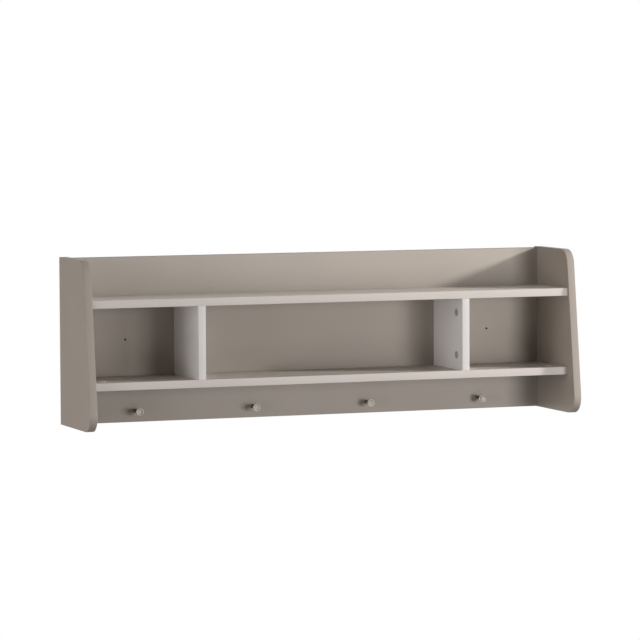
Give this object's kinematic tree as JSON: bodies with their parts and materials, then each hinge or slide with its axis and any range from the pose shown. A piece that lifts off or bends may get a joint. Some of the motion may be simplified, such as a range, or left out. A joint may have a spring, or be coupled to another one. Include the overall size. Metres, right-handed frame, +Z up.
{
  "type": "wall shelf",
  "caption": "Wall shelf with a back panel, tapered round-cornered sides, an open tray on top, bays between two shelves, and a row of coat pegs below.",
  "frame": {"origin": "on the wall plane, midway between the two wall screw holes", "axes": "+X to the right along the shelf, -Y out of the wall towards the front, +Z up"},
  "size_m": [1.2, 0.2298, 0.383],
  "materials": {
    "board": "satin melamine",
    "board_edge": "satin edge strip",
    "light_edge": "satin edge strip",
    "divider": "satin melamine",
    "peg": "satin",
    "cap": "satin",
    "zinc": "zinc plated",
    "dowel": "raw beech"
  },
  "bodies": {
    "root": {"side_panel_left": "board", "side_panel_right": "board", "side_strip_left": "board_edge", "side_strip_right": "board_edge", "back_panel": "board", "back_strip_top": "board_edge", "back_strip_bottom": "board_edge", "upper_shelf": "board", "upper_shelf_strip": "light_edge", "lower_shelf": "board", "lower_shelf_strip": "light_edge", "divider_left": "divider", "divider_right": "divider", "divider_strip_left": "divider", "divider_strip_right": "divider", "peg_1": "peg", "peg_2": "peg", "peg_3": "peg", "peg_4": "peg", "peg_screws": "zinc", "upper_shelf_cams": "zinc", "lower_shelf_cams": "zinc", "divider_cams": "zinc", "back_panel_cams": "zinc", "upper_shelf_bolts": "zinc", "lower_shelf_bolts": "zinc", "divider_bolts": "zinc", "back_panel_bolts": "zinc", "upper_shelf_caps": "cap", "lower_shelf_caps": "cap", "divider_caps": "cap", "shelf_dowels": "dowel", "divider_dowels": "dowel", "back_panel_dowels": "dowel", "shelf_screws": "zinc", "divider_screws": "zinc"}
  },
  "joints": []
}
